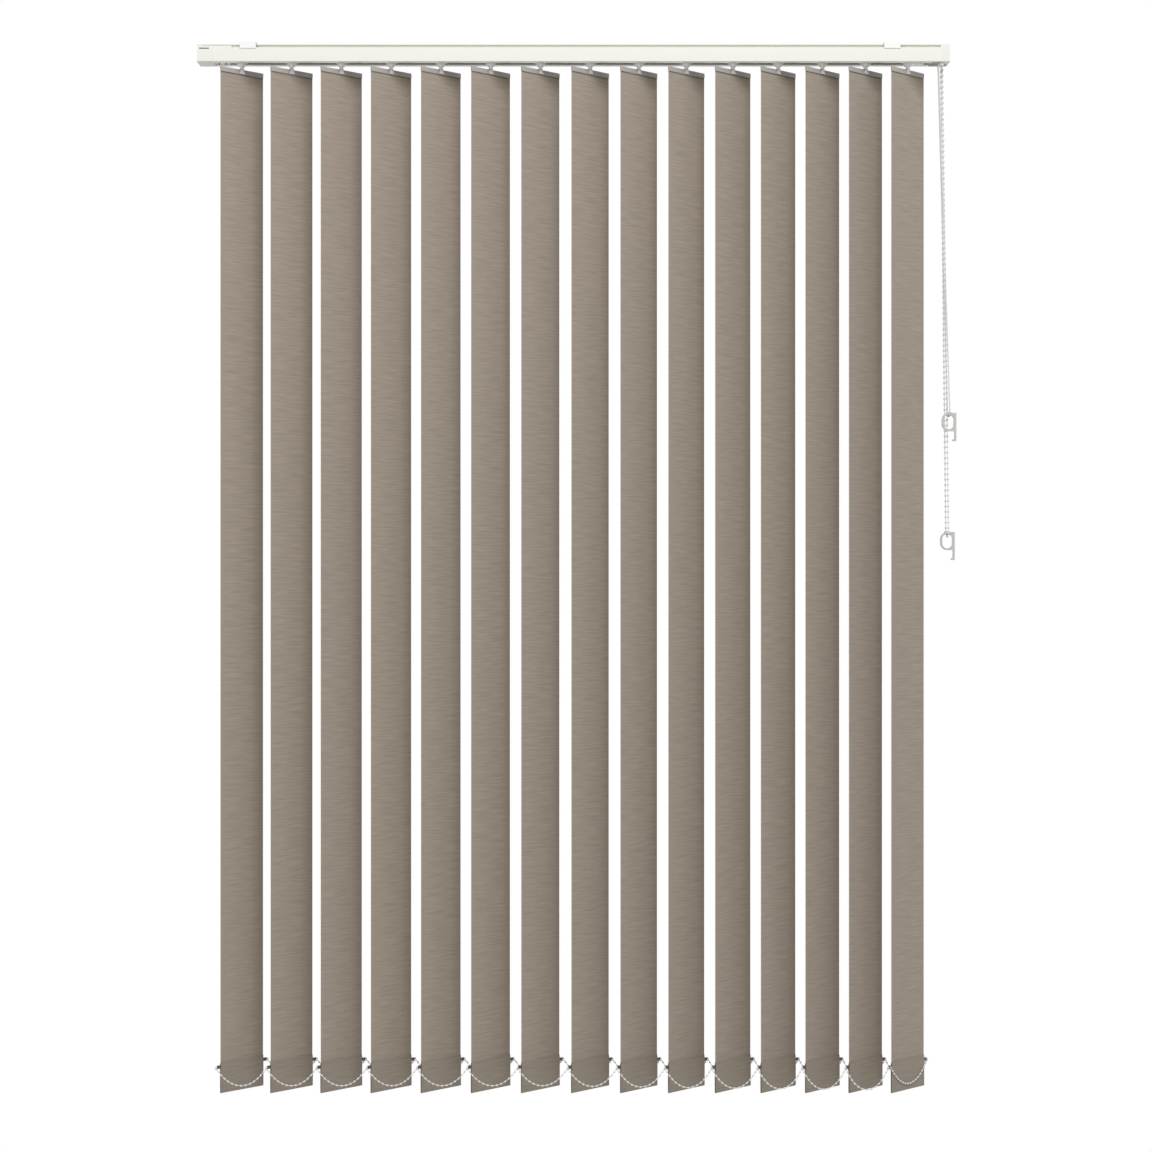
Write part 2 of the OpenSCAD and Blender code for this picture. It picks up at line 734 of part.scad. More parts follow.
module bead_run(points, d, link) {
    last = len(points) - 1;
    for (k = [0 : last - 1])
        bead(points[k], points[k + 1], d, link);
    translate(points[last]) sphere(d = d);
}

// A bottom chain runs from tab to tab in equal lengths
module bottom_chain(side) {
    reach = [side * clip_r * cos(vane_angle), side * clip_r * sin(vane_angle), tab_z];
    points = [for (i = [1 : vane_count - 1])
        swag(reach + [vane_x(i), 0, 0], reach + [vane_x(i + 1), 0, 0], swag_l, swag_beads)];
    color("white")
        for (i = [0 : vane_count - 2])
            if (i == vane_count - 2)
                bead_run(points[i], bead_d, link_d);
            else
                for (k = [0 : swag_beads - 1])
                    bead(points[i][k], points[i][k + 1], bead_d, link_d);
}

// The control chain is a loop over its wheel and under the saddle of its clip
wheel_arc = PI / 2 * wheel_pitch_r;
turn_arc = PI / 2 * chain_turn_r;
strand_top = [wheel_x, wheel_pitch_r, rod_z];
strand_end = [saddle_x, chain_turn_r, -chain_clip_drop];
strand_l = norm(strand_end - strand_top);
half_loop = wheel_arc + strand_l + turn_arc;
function half_point(t) =
    t < wheel_arc
    ? let(a = 180 / PI * t / wheel_pitch_r)
        [wheel_x, wheel_pitch_r * sin(a), rod_z + wheel_pitch_r * cos(a)]
    : t < wheel_arc + strand_l
    ? strand_top + (t - wheel_arc) / strand_l * (strand_end - strand_top)
    : let(a = 180 / PI * (t - wheel_arc - strand_l) / chain_turn_r)
        [saddle_x, chain_turn_r * cos(a), -chain_clip_drop - chain_turn_r * sin(a)];
function loop_point(k) =
    let(s = 2 * half_loop * k / control_beads, back = s <= half_loop,
        p = half_point(back ? s : 2 * half_loop - s))
    [p[0], rod_y + (back ? 1 : -1) * p[1], p[2]];

// Beads of the loop that lie on a straight strand
strand_beads = [for (k = [1 : control_beads / 2 - 1])
    let(t = 2 * half_loop * k / control_beads - wheel_arc)
    if (t >= 0 && t <= strand_l) k];
first_bead = strand_beads[0];
last_bead = strand_beads[len(strand_beads) - 1];

// A straight strand is one turned shape of beads and links
module control_strand(side) {
    from = loop_point(side > 0 ? first_bead : control_beads - first_bead);
    v = loop_point(side > 0 ? last_bead : control_beads - last_bead) - from;
    towards(from, from + v) rotate_extrude() {
        field([0, 0], [control_link_d / 2, norm(v)]);
        intersection() {
            for (k = strand_beads)
                translate([0, norm(v) * (k - first_bead) / (last_bead - first_bead)])
                    circle(d = control_bead_d);
            field([0, -control_bead_d], [control_bead_d, norm(v) + control_bead_d]);
        }
    }
}

module control_chain() {
    curved = concat([for (k = [1 - first_bead : first_bead - 1]) k],
        [for (k = [last_bead + 1 : control_beads - last_bead - 1]) k]);
    links = concat(curved, [-first_bead, last_bead]);
    color("white") {
        control_strand(1);
        control_strand(-1);
        for (k = curved)
            translate(loop_point((k + control_beads) % control_beads)) sphere(d = control_bead_d);
        for (k = links)
            bead_link(loop_point((k + control_beads) % control_beads),
                loop_point((k + 1 + control_beads) % control_beads), control_bead_d, control_link_d);
    }
}

// A tube swept along a route, its rings carried on without twist
function unit(v) = v / norm(v);
function heading(p, i) =
    i == 0 ? unit(p[1] - p[0])
    : i == len(p) - 1 ? unit(p[i] - p[i - 1])
    : unit(unit(p[i + 1] - p[i]) + unit(p[i] - p[i - 1]));
function carried(p, i, up) =
    let(t = heading(p, i), n = unit(up - (up * t) * t))
    i == len(p) - 1 ? [n] : concat([n], carried(p, i + 1, n));

module tube(p, r, sides) {
    n = carried(p, 0, [0, 0, 1]);
    rings = [for (i = [0 : len(p) - 1], k = [0 : sides - 1])
        let(a = 360 * k / sides)
        p[i] + r * (cos(a) * n[i] + sin(a) * cross(heading(p, i), n[i]))];
    last = (len(p) - 1) * sides;
    polyhedron(rings, concat(
        [[for (k = [0 : sides - 1]) k]],
        [for (i = [0 : len(p) - 2], k = [0 : sides - 1])
            let(a = i * sides + k, b = i * sides + (k + 1) % sides)
            [a, a + sides, b + sides, b]],
        [[for (k = [sides - 1 : -1 : 0]) last + k]]));
}

module traverse_cord() {
    color("white") tube(cord_route, cord_d / 2, cord_sides);
}

// Hold-down clip, moulded in the shape of a P that faces the vanes
module hold_down_clip() {
    ring_r = clip_loop_w / 2;
    ring_z = clip_t / 2 - ring_r;
    ring_low = clip_t / 2 - clip_loop_h + ring_r;
    plate_x = wall_x - saddle_x - clip_t;
    plate_bot = clip_t / 2 - clip_h;
    screw_z = (plate_bot + clip_t / 2 - clip_loop_h) / 2;
    difference() {
        union() {
            rotate([90, 0, 0]) linear_extrude(clip_d, center = true) {
                difference() {
                    union() {
                        for (z = [ring_z, ring_low])
                            translate([0, z]) circle(r = ring_r);
                        field([-ring_r, ring_low], [ring_r, ring_z]);
                        field([0, plate_bot], [plate_x + clip_t, clip_t / 2]);
                    }
                    for (z = [ring_z, ring_low])
                        translate([0, z]) circle(r = ring_r - clip_t);
                    field([-ring_r + clip_t, ring_low], [ring_r - clip_t, ring_z]);
                    field([-past, plate_bot + clip_t], [plate_x, clip_t / 2 - clip_loop_h]);
                    field([-past, plate_bot - past], [plate_x - clip_t, plate_bot + 2 * clip_t]);
                }
            }
            bar_x([0, 0, 0], saddle_r, saddle_l);
        }
        bar_x([plate_x, 0, screw_z], clip_screw_d / 2, 4 * clip_t);
    }
}

module cord_clip() {
    color("white") translate([saddle_x, -cord_mid, -cord_clip_drop]) hold_down_clip();
}

module chain_clip() {
    color("white") translate([saddle_x, rod_y, -chain_clip_drop]) hold_down_clip();
}

headrail();
idler_end_cap();
control_end_cap();
ceiling_brackets();
tilt_rod();
chain_wheel();
idler_pulley();
cord_pulley_front();
cord_pulley_back();
for (i = [1 : vane_count]) {
    carrier(i);
    hanger(i);
    vane(i);
}
traverse_cord();
control_chain();
cord_clip();
chain_clip();
bottom_chain(-1);  // front_bead_chain
bottom_chain(1);  // back_bead_chain
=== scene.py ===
# A vertical blind: fabric vanes that slide and turn under a ceiling-fixed headrail.
# Everything is in metres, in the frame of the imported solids: X along the rail, -Y the room side.
import json
from math import asinh, cos, pi, radians, sin, sqrt

import bpy
from mathutils import Matrix, Vector


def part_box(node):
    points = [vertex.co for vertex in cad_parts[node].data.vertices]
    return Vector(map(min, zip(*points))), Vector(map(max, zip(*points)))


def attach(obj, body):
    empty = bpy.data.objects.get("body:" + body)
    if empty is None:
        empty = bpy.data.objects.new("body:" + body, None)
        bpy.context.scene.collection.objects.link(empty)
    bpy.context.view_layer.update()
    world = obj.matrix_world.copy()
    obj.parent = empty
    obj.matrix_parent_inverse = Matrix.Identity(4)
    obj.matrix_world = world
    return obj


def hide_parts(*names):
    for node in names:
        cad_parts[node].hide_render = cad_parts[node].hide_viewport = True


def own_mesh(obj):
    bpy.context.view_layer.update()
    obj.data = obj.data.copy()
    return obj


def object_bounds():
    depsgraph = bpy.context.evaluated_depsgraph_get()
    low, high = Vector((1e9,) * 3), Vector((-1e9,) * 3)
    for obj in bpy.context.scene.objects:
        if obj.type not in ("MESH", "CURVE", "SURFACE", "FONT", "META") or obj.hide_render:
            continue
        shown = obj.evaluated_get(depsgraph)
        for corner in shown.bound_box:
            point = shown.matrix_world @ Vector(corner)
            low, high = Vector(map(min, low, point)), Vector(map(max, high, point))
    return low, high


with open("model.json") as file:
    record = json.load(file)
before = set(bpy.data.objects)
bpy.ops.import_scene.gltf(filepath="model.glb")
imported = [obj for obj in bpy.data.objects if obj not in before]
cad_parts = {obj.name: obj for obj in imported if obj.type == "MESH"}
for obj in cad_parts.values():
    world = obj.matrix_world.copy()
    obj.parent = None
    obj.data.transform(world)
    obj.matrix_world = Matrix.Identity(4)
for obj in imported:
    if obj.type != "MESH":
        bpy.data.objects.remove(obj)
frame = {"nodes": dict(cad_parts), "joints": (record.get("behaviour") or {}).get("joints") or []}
cad_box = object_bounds()
bpy.ops.object.select_all(action="DESELECT")

# Camera
# The blind is seen straight from the front, with the lens at the middle of its height.
# The view's width is a real size, measured in the plane of the rail's front face.
view_width, view_distance = 1.836, 4.3
view_middle = Vector((0.0095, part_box("headrail")[0].y, -0.852))
bpy.ops.object.camera_add(location=view_middle - Vector((0, view_distance, 0)),
                          rotation=(radians(90), 0, 0))
camera = bpy.context.object
camera.data.lens = camera.data.sensor_width * view_distance / view_width
camera.data.clip_end = 60
bpy.context.scene.camera = camera
bpy.context.scene.view_settings.view_transform = "Standard"

# Traverse cord
# A thin braided polyester cord. It is clamped to the lead carrier, runs over the two pulleys at the
# control end, hangs down round its hold-down clip and comes back along the rail, round the idler
# pulley.
cord_diameter, cord_length = 0.0018, 3.53
front_y, back_y, run_z = -0.0135, -0.0045, -0.0082
over_pulley = [(0.5841, run_z), (0.5864, -0.0088), (0.588, -0.0105), (0.5886, -0.0127),
               (0.5886, -0.034)]
front_fall = [(0.5936, -0.0134, -0.19), (0.5999, -0.0133, -0.39), (0.6062, -0.0134, -0.585)]
round_clip = [(0.6064, -0.0134, -0.593), (0.6062, -0.0129, -0.5953), (0.6058, -0.0113, -0.5969),
              (0.6051, -0.009, -0.5975), (0.6044, -0.0067, -0.5969), (0.604, -0.0051, -0.5953),
              (0.6038, -0.0046, -0.593)]
back_fall = [(0.6036, -0.0046, -0.585), (0.5983, -0.0047, -0.39), (0.5928, -0.0046, -0.19)]
round_idler = [(-0.5816, back_y), (-0.5839, -0.0051), (-0.5855, -0.0067), (-0.5861, -0.009),
               (-0.5855, -0.0113), (-0.5839, -0.0129), (-0.5816, front_y)]
cord_route = [(x, front_y, run_z) for x in (-0.552, -0.2, 0.2)]
cord_route += [(x, front_y, z) for x, z in over_pulley]
cord_route += front_fall + round_clip + back_fall
cord_route += [(x, back_y, z) for x, z in reversed(over_pulley)]
cord_route += [(x, back_y, run_z) for x in (0.2, -0.2)]
cord_route += [(x, y, run_z) for x, y in round_idler] + [(-0.558, front_y, run_z)]
line = bpy.data.curves.new("traverse_line", "CURVE")
line.dimensions = "3D"
line.bevel_depth = cord_diameter / 2
line.bevel_resolution = 3
line.use_fill_caps = True
run = line.splines.new("POLY")
run.points.add(len(cord_route) - 1)
for point, place in zip(run.points, cord_route):
    point.co = (*place, 1)
traverse_line = bpy.data.objects.new("traverse_line", line)
bpy.context.collection.objects.link(traverse_line)


def wire(tree, *links):
    """Links sockets of a node tree, each from an output to an input."""
    for start, end in links:
        tree.links.new(start, end)


def colour_mix(tree, first=None, second=None):
    """A node that mixes two colours: inputs 6 and 7 take them, and output 2 gives the result."""
    mix = tree.nodes.new("ShaderNodeMix")
    mix.data_type = "RGBA"
    for socket, colour in ((6, first), (7, second)):
        if colour:
            mix.inputs[socket].default_value = (*colour, 1)
    return mix


# Fine variation that all the blind's finishes share: grain in colour, roughness and height.
fine_grain = bpy.data.node_groups.new("fine_grain", "ShaderNodeTree")
for name, kind in (("Vector", "Vector"), ("Scale", "Float"), ("Colour", "Color"),
                   ("Shade", "Color"), ("Smoothest", "Float"), ("Roughest", "Float")):
    fine_grain.interface.new_socket(name, in_out="INPUT", socket_type="NodeSocket" + kind)
for name, kind in (("Colour", "Color"), ("Roughness", "Float"), ("Height", "Float")):
    fine_grain.interface.new_socket(name, in_out="OUTPUT", socket_type="NodeSocket" + kind)
given = fine_grain.nodes.new("NodeGroupInput")
put_out = fine_grain.nodes.new("NodeGroupOutput")
speckle = fine_grain.nodes.new("ShaderNodeTexNoise")
speckle.inputs["Detail"].default_value = 4
tint = colour_mix(fine_grain)
gloss = fine_grain.nodes.new("ShaderNodeMapRange")
wire(fine_grain,
     (given.outputs["Vector"], speckle.inputs["Vector"]),
     (given.outputs["Scale"], speckle.inputs["Scale"]),
     (speckle.outputs["Fac"], tint.inputs["Factor"]),
     (given.outputs["Colour"], tint.inputs[6]),
     (given.outputs["Shade"], tint.inputs[7]),
     (speckle.outputs["Fac"], gloss.inputs["Value"]),
     (given.outputs["Smoothest"], gloss.inputs["To Min"]),
     (given.outputs["Roughest"], gloss.inputs["To Max"]),
     (tint.outputs[2], put_out.inputs["Colour"]),
     (gloss.outputs["Result"], put_out.inputs["Roughness"]),
     (speckle.outputs["Fac"], put_out.inputs["Height"]))


def grained(name, colour, shade, roughness, scale, stretch=(1, 1, 1), depth=0.00003):
    """A finish with fine grain: two close colours, a span of roughness and a slight relief."""
    material = bpy.data.materials.new(name)
    material.use_nodes = True
    tree = material.node_tree
    surface = tree.nodes["Principled BSDF"]
    where = tree.nodes.new("ShaderNodeTexCoord")
    mapping = tree.nodes.new("ShaderNodeMapping")
    mapping.inputs["Scale"].default_value = stretch
    grain = tree.nodes.new("ShaderNodeGroup")
    grain.node_tree = fine_grain
    grain.inputs["Scale"].default_value = scale
    grain.inputs["Colour"].default_value = (*colour, 1)
    grain.inputs["Shade"].default_value = (*shade, 1)
    grain.inputs["Smoothest"].default_value, grain.inputs["Roughest"].default_value = roughness
    relief = tree.nodes.new("ShaderNodeBump")
    relief.inputs["Distance"].default_value = depth
    wire(tree,
         (where.outputs["Object"], mapping.inputs["Vector"]),
         (mapping.outputs["Vector"], grain.inputs["Vector"]),
         (grain.outputs["Colour"], surface.inputs["Base Color"]),
         (grain.outputs["Roughness"], surface.inputs["Roughness"]),
         (grain.outputs["Height"], relief.inputs["Height"]),
         (relief.outputs["Normal"], surface.inputs["Normal"]))
    return material


line.materials.append(grained(
    "braided_cord", colour=(0.82, 0.82, 0.8), shade=(0.62, 0.62, 0.6), roughness=(0.6, 0.9),
    scale=1600, stretch=(1, 1, 0.5), depth=0.0002))
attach(traverse_line, "headrail")
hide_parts("traverse_cord")

# Headrail
# An aluminium extrusion with an ivory stove enamel, painted greyer above the shoulders of the clip
# grooves as painted shade.
# Faint draw lines run along its length, and the carriers hang through the slot in its underside.
shoulder_z, shoulder_blend = -0.0098, 0.0002
rail_rounding = 0.0003
rail_enamel = grained(
    "ivory_enamel", colour=(0.87, 0.862, 0.8), shade=(0.84, 0.83, 0.765), roughness=(0.3, 0.42),
    scale=60, stretch=(0.4, 12, 12))
enamel = rail_enamel.node_tree
rail_place = enamel.nodes.new("ShaderNodeSeparateXYZ")
# Painted shade: above the shoulder of the clip grooves the enamel colour turns greyer, for the shade
# in the grooves.
in_groove = enamel.nodes.new("ShaderNodeMapRange")
in_groove.inputs["From Min"].default_value = shoulder_z - shoulder_blend
in_groove.inputs["From Max"].default_value = shoulder_z + shoulder_blend
painted_groove_shade = colour_mix(enamel, second=(0.79, 0.805, 0.715))
wire(enamel,
     (enamel.nodes["Texture Coordinate"].outputs["Object"], rail_place.inputs["Vector"]),
     (rail_place.outputs["Z"], in_groove.inputs["Value"]),
     (in_groove.outputs["Result"], painted_groove_shade.inputs["Factor"]),
     (enamel.nodes["Group"].outputs["Colour"], painted_groove_shade.inputs[6]),
     (painted_groove_shade.outputs[2], enamel.nodes["Principled BSDF"].inputs["Base Color"]))


def round_off(piece, width, segments=3):
    """Rounds a piece's sharp edges and keeps its flats flat."""
    bpy.ops.object.mode_set(mode="OBJECT")
    bpy.ops.object.shade_smooth()
    rounding = piece.modifiers.new("rounding", "BEVEL")
    rounding.width = width
    rounding.segments = segments
    rounding.limit_method = "ANGLE"
    rounding.harden_normals = True
    bpy.ops.object.modifier_apply(modifier=rounding.name)


def softened(node, name, material, width):
    """A copy of a fixed solid of the frame, with rounded edges, that stands for the solid."""
    piece = bpy.data.objects.new(name, frame["nodes"][node].data.copy())
    piece.data.name = name
    bpy.context.collection.objects.link(piece)
    bpy.ops.object.select_all(action="DESELECT")
    piece.select_set(True)
    bpy.context.view_layer.objects.active = piece
    bpy.ops.mesh.customdata_custom_splitnormals_clear()
    bpy.ops.object.mode_set(mode="EDIT")
    bpy.ops.mesh.select_all(action="SELECT")
    bpy.ops.mesh.remove_doubles(threshold=0.00001)
    bpy.ops.mesh.dissolve_limited(angle_limit=radians(1))
    round_off(piece, width)
    piece.data.materials.clear()
    piece.data.materials.append(material)
    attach(piece, "headrail")
    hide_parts(node)
    return piece


softened("headrail", "rail_extrusion", rail_enamel, rail_rounding)

# End caps
# Both caps are moulded in ivory plastic to match the rail: the idler cap pushes two tongues along the
# rail's grooves, over two recesses that are painted near-black as painted shade, and the control cap
# houses the chain wheel and the pulleys.
cap_rounding, recess_skin = 0.0004, 0.0003
recess_middle = (-0.5836, 0, -0.01055)
recess_reach = (0.0078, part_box("idler_end_cap")[1].y - recess_skin, 0.0009)
cap_plastic = grained(
    "ivory_plastic", colour=(0.85, 0.845, 0.8), shade=(0.81, 0.805, 0.755), roughness=(0.36, 0.5),
    scale=420)
moulding = cap_plastic.node_tree
cap_place = moulding.nodes.new("ShaderNodeSeparateXYZ")
# Painted shade: the recesses under the idler cap's tongues are coloured near-black, as if they were
# deep gaps.
painted_recess_shade = colour_mix(moulding, second=(0.08, 0.075, 0.07))


def maths(tree, operation, second=None, third=None):
    """A maths node, with its second and third values set where they are given."""
    node = tree.nodes.new("ShaderNodeMath")
    node.operation = operation
    for socket, value in ((1, second), (2, third)):
        if value is not None:
            node.inputs[socket].default_value = value
    return node


in_recess = None
for axis, middle, reach in zip("XYZ", recess_middle, recess_reach):
    within = maths(moulding, "COMPARE", middle, reach)
    wire(moulding, (cap_place.outputs[axis], within.inputs[0]))
    if in_recess:
        both = maths(moulding, "MULTIPLY")
        wire(moulding, (in_recess, both.inputs[0]), (within.outputs["Value"], both.inputs[1]))
        within = both
    in_recess = within.outputs["Value"]
wire(moulding,
     (moulding.nodes["Texture Coordinate"].outputs["Object"], cap_place.inputs["Vector"]),
     (in_recess, painted_recess_shade.inputs["Factor"]),
     (moulding.nodes["Group"].outputs["Colour"], painted_recess_shade.inputs[6]),
     (painted_recess_shade.outputs[2], moulding.nodes["Principled BSDF"].inputs["Base Color"]))
for cap, name in (("idler_end_cap", "idler_cap"), ("control_end_cap", "control_cap")):
    softened(cap, name, cap_plastic, cap_rounding)

# Ceiling brackets
# Two plates of bent sheet steel with a white coat. They are screwed to the ceiling, and their lips
# snap into the rail's grooves.
bracket_rounding = 0.0003
bracket_coat = grained(
    "white_coat", colour=(0.92, 0.92, 0.91), shade=(0.89, 0.89, 0.88), roughness=(0.32, 0.45),
    scale=300)
softened("ceiling_brackets", "bracket_plates", bracket_coat, bracket_rounding)

# Tilt rod, chain wheel and pulleys
# The rod is a grooved aluminium extrusion through all the carriers. The wheel at its end and the
# three cord pulleys are moulded in white plastic.
rod_metal = grained(
    "mill_aluminium", colour=(0.72, 0.72, 0.73), shade=(0.6, 0.6, 0.61), roughness=(0.25, 0.4),
    scale=80, stretch=(0.3, 20, 20))
rod_metal.node_tree.nodes["Principled BSDF"].inputs["Metallic"].default_value = 1
white_plastic = grained(
    "white_plastic", colour=(0.91, 0.91, 0.9), shade=(0.86, 0.86, 0.85), roughness=(0.28, 0.42),
    scale=500)


def dress(node, material):
    """Gives a moving solid of the frame its finish."""
    part = frame["nodes"][node]
    part.data.materials.clear()
    part.data.materials.append(material)


dress("tilt_rod", rod_metal)
for wheel in ("chain_wheel", "idler_pulley", "cord_pulley_front", "cord_pulley_back"):
    dress(wheel, white_plastic)

# Carriers
# Each carrier is moulded in white plastic, with four wheels in the rail and a neck through the slot.
# Flat spacer strips on top of the carriers set the distance from one to the next.
vane_ids = ["%02d" % i for i in range(1, 16)]
for i in vane_ids:
    dress("carrier_" + i, white_plastic)

# Hooks and hanger strips
# A hook turns in each carrier: a worm wheel, a round stem and a forked foot. Its pin holds the hanger
# strip, a grey plastic channel that is pressed over the top edge of the vane.
vane_turn = radians(48)
vane_axes = {joint["child"]: Vector(joint["pos_m"]) for joint in frame["joints"]
             if joint["name"].startswith("tilt_")}
vane_width, vane_top = 0.089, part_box("vane_01")[1].z
strip_height, strip_depth, strip_wall, strip_rounding = 0.0075, 0.0024, 0.0008, 0.0002
strip_over_vane, foot_over_strip = 0.0009, 0.0016
strip_top = vane_top + strip_over_vane
hook_top, foot_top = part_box("hanger_01")[1].z, strip_top + foot_over_strip
worm_height, worm_radius, stem_radius, worm_rounding = 0.005, 0.0048, 0.003, 0.0003
foot_width, foot_depth, foot_height = 0.0096, 0.004, 0.0082
foot_shoulders, fork_wall, foot_rounding = 0.7, 0.0007, 0.00025
hanger_plastic = grained(
    "grey_plastic", colour=(0.5, 0.472, 0.455), shade=(0.44, 0.415, 0.4), roughness=(0.35, 0.5),
    scale=500)


def block(size, middle):
    """A box of a given size round a point, to be shaped."""
    bpy.ops.mesh.primitive_cube_add(size=1, location=middle)
    piece = bpy.context.object
    piece.scale = size
    bpy.ops.object.transform_apply(location=True, scale=True)
    return piece


def pick(piece, wanted):
    """Opens a piece in edit mode with the faces selected that the test wants."""
    bpy.ops.object.mode_set(mode="EDIT")
    bpy.ops.mesh.select_mode(type="FACE")
    bpy.ops.mesh.select_all(action="DESELECT")
    bpy.ops.object.mode_set(mode="OBJECT")
    for face in piece.data.polygons:
        face.select = wanted(face)
    bpy.ops.object.mode_set(mode="EDIT")


def open_walled(piece, wall):
    """Takes away a block's underside and ends, and gives what is left a wall inwards."""
    for open_side in (lambda face: face.normal.z < -0.5, lambda face: abs(face.normal.x) > 0.5):
        pick(piece, open_side)
        bpy.ops.mesh.delete(type="FACE")
    bpy.ops.object.mode_set(mode="OBJECT")
    walls = piece.modifiers.new("walls", "SOLIDIFY")
    walls.thickness = wall
    walls.offset = -1
    bpy.ops.object.modifier_apply(modifier=walls.name)


def joined(pieces, name):
    """Joins pieces into one, with its place in its mesh."""
    bpy.ops.object.select_all(action="DESELECT")
    for piece in pieces:
        piece.select_set(True)
    bpy.context.view_layer.objects.active = pieces[0]
    if len(pieces) > 1:
        bpy.ops.object.join()
    bpy.ops.object.transform_apply(location=True, rotation=True, scale=True)
    whole = bpy.context.object
    whole.name = whole.data.name = name
    return whole


def placed_copy(master, place):
    """A copy of a piece with its own mesh, which is moved and turned by a matrix."""
    copy = master.copy()
    copy.data = master.data.copy()
    copy.data.transform(place)
    bpy.context.collection.objects.link(copy)
    return copy


def on_vane(master, i, name):
    """A copy of a piece modelled on the middle axis, set on a vane's axis and turned with it."""
    axis = vane_axes["vane_" + i]
    copy = placed_copy(
        master, Matrix.Translation((axis.x, axis.y, 0)) @ Matrix.Rotation(vane_turn, 4, "Z"))
    copy.name = copy.data.name = name + "_" + i
    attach(copy, "vane_" + i)
    return copy


strip = block((vane_width, strip_depth, strip_height), (0, 0, strip_top - strip_height / 2))
open_walled(strip, strip_wall)
round_off(strip, strip_rounding, segments=2)
strip.data.materials.append(hanger_plastic)

bpy.ops.mesh.primitive_cylinder_add(vertices=24, radius=worm_radius, depth=worm_height,
                                    location=(0, 0, hook_top - worm_height / 2))
worm = bpy.context.object
pick(worm, lambda face: face.normal.z < -0.5)
bpy.ops.mesh.inset(thickness=worm_radius - stem_radius)
bpy.ops.mesh.extrude_region_move(
    TRANSFORM_OT_translate={"value": (0, 0, foot_top - hook_top + worm_height)})
round_off(worm, worm_rounding, segments=2)
foot = block((foot_width, foot_depth, foot_height), (0, 0, foot_top - foot_height / 2))
pick(foot, lambda face: face.normal.z > 0.5)
bpy.ops.transform.resize(value=(foot_shoulders, 1, 1))
open_walled(foot, fork_wall)
round_off(foot, foot_rounding, segments=2)
hook = joined([worm, foot], "hook")
hook.data.materials.append(white_plastic)
for i in vane_ids:
    hanger_strip = on_vane(strip, i, "hanger_strip")
    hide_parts("hanger_" + i)
    on_vane(hook, i, "hook")
for master in (strip, hook):
    bpy.data.objects.remove(master)

# Vanes
# Each vane is a strip of stiffened slub-weave polyester. Its lower end is folded up to the front and
# sewn, which makes the pocket for the weight.
vane_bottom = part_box("vane_01")[0].z
cloth_thickness, cut_length = 0.0006, 1.684
pocket_height, pocket_half, hem_height, hem_front = 0.05, 0.0011, 0.005, -0.0007
crease_height, fold_steps, fold_room = 0.02, 6, 0.0003
hairbreadth = 0.0001
seam_z = vane_bottom + pocket_height
taupe, taupe_dark, shade_and_stitch_brown = (0.448, 0.383, 0.314), (0.374, 0.318, 0.26), (0.09, 0.078, 0.065)
slub_size, thread_size, weave_relief = (24, 410, 1), (1500, 2200, 1), 0.00012
palest_slub, darkest_slub, ragged = 0.68, 0.32, 0.0024
strip_shadow_half, stitch_half, stitch_below_hem = 0.0009, 0.0005, 0.0035
strip_shadow_depth, stitch_depth, pocket_shade_depth = 0.6, 0.12, 0.2
next_on_roll = 1.5 * vane_width

vane_cloth = bpy.data.materials.new("slub_weave")
vane_cloth.use_nodes = True
weave = vane_cloth.node_tree
cloth_surface = weave.nodes["Principled BSDF"]
cloth_surface.inputs["Roughness"].default_value = 0.85
cloth_surface.inputs["Specular IOR Level"].default_value = 0.2
cloth_surface.inputs["Sheen Weight"].default_value = 0.15
along_cloth = weave.nodes.new("ShaderNodeUVMap")


def yarn(size, detail):
    """Noise along the cloth's own map, stretched to a yarn's length and thickness."""
    stretched = weave.nodes.new("ShaderNodeMapping")
    stretched.inputs["Scale"].default_value = size
    noise = weave.nodes.new("ShaderNodeTexNoise")
    noise.inputs["Scale"].default_value = 1
    noise.inputs["Detail"].default_value = detail
    wire(weave, (along_cloth.outputs["UV"], stretched.inputs["Vector"]),
         (stretched.outputs["Vector"], noise.inputs["Vector"]))
    return noise


slub = yarn(slub_size, detail=2)
slub.inputs["Distortion"].default_value = 0.1
threads = yarn(thread_size, detail=1)
contrast = weave.nodes.new("ShaderNodeMapRange")
contrast.inputs["From Min"].default_value = darkest_slub
contrast.inputs["From Max"].default_value = palest_slub
slub_colour = colour_mix(weave, taupe_dark, taupe)
heights = maths(weave, "ADD")
cloth_relief = weave.nodes.new("ShaderNodeBump")
cloth_relief.inputs["Distance"].default_value = weave_relief
up_cloth = weave.nodes.new("ShaderNodeSeparateXYZ")
uneven = maths(weave, "MULTIPLY_ADD", ragged)
under_strip = maths(weave, "COMPARE", strip_top - strip_height, strip_shadow_half)
stitching = maths(weave, "COMPARE", 2 * vane_bottom - seam_z + stitch_below_hem, stitch_half)
# Painted shade: the whole pocket is coloured darker, for the light that comes through one layer of
# cloth but not through two.
painted_pocket_shade_mask = maths(weave, "LESS_THAN", seam_z)
pocket_shade = maths(weave, "MULTIPLY", pocket_shade_depth)
stitch_shade = maths(weave, "MULTIPLY_ADD", stitch_depth)
strip_shade = maths(weave, "MULTIPLY_ADD", strip_shadow_depth)
# One dark brown serves the painted shadow under the strip, the painted pocket shade and the stitch
# line.
shade_and_stitch_mix = colour_mix(weave, second=shade_and_stitch_brown)
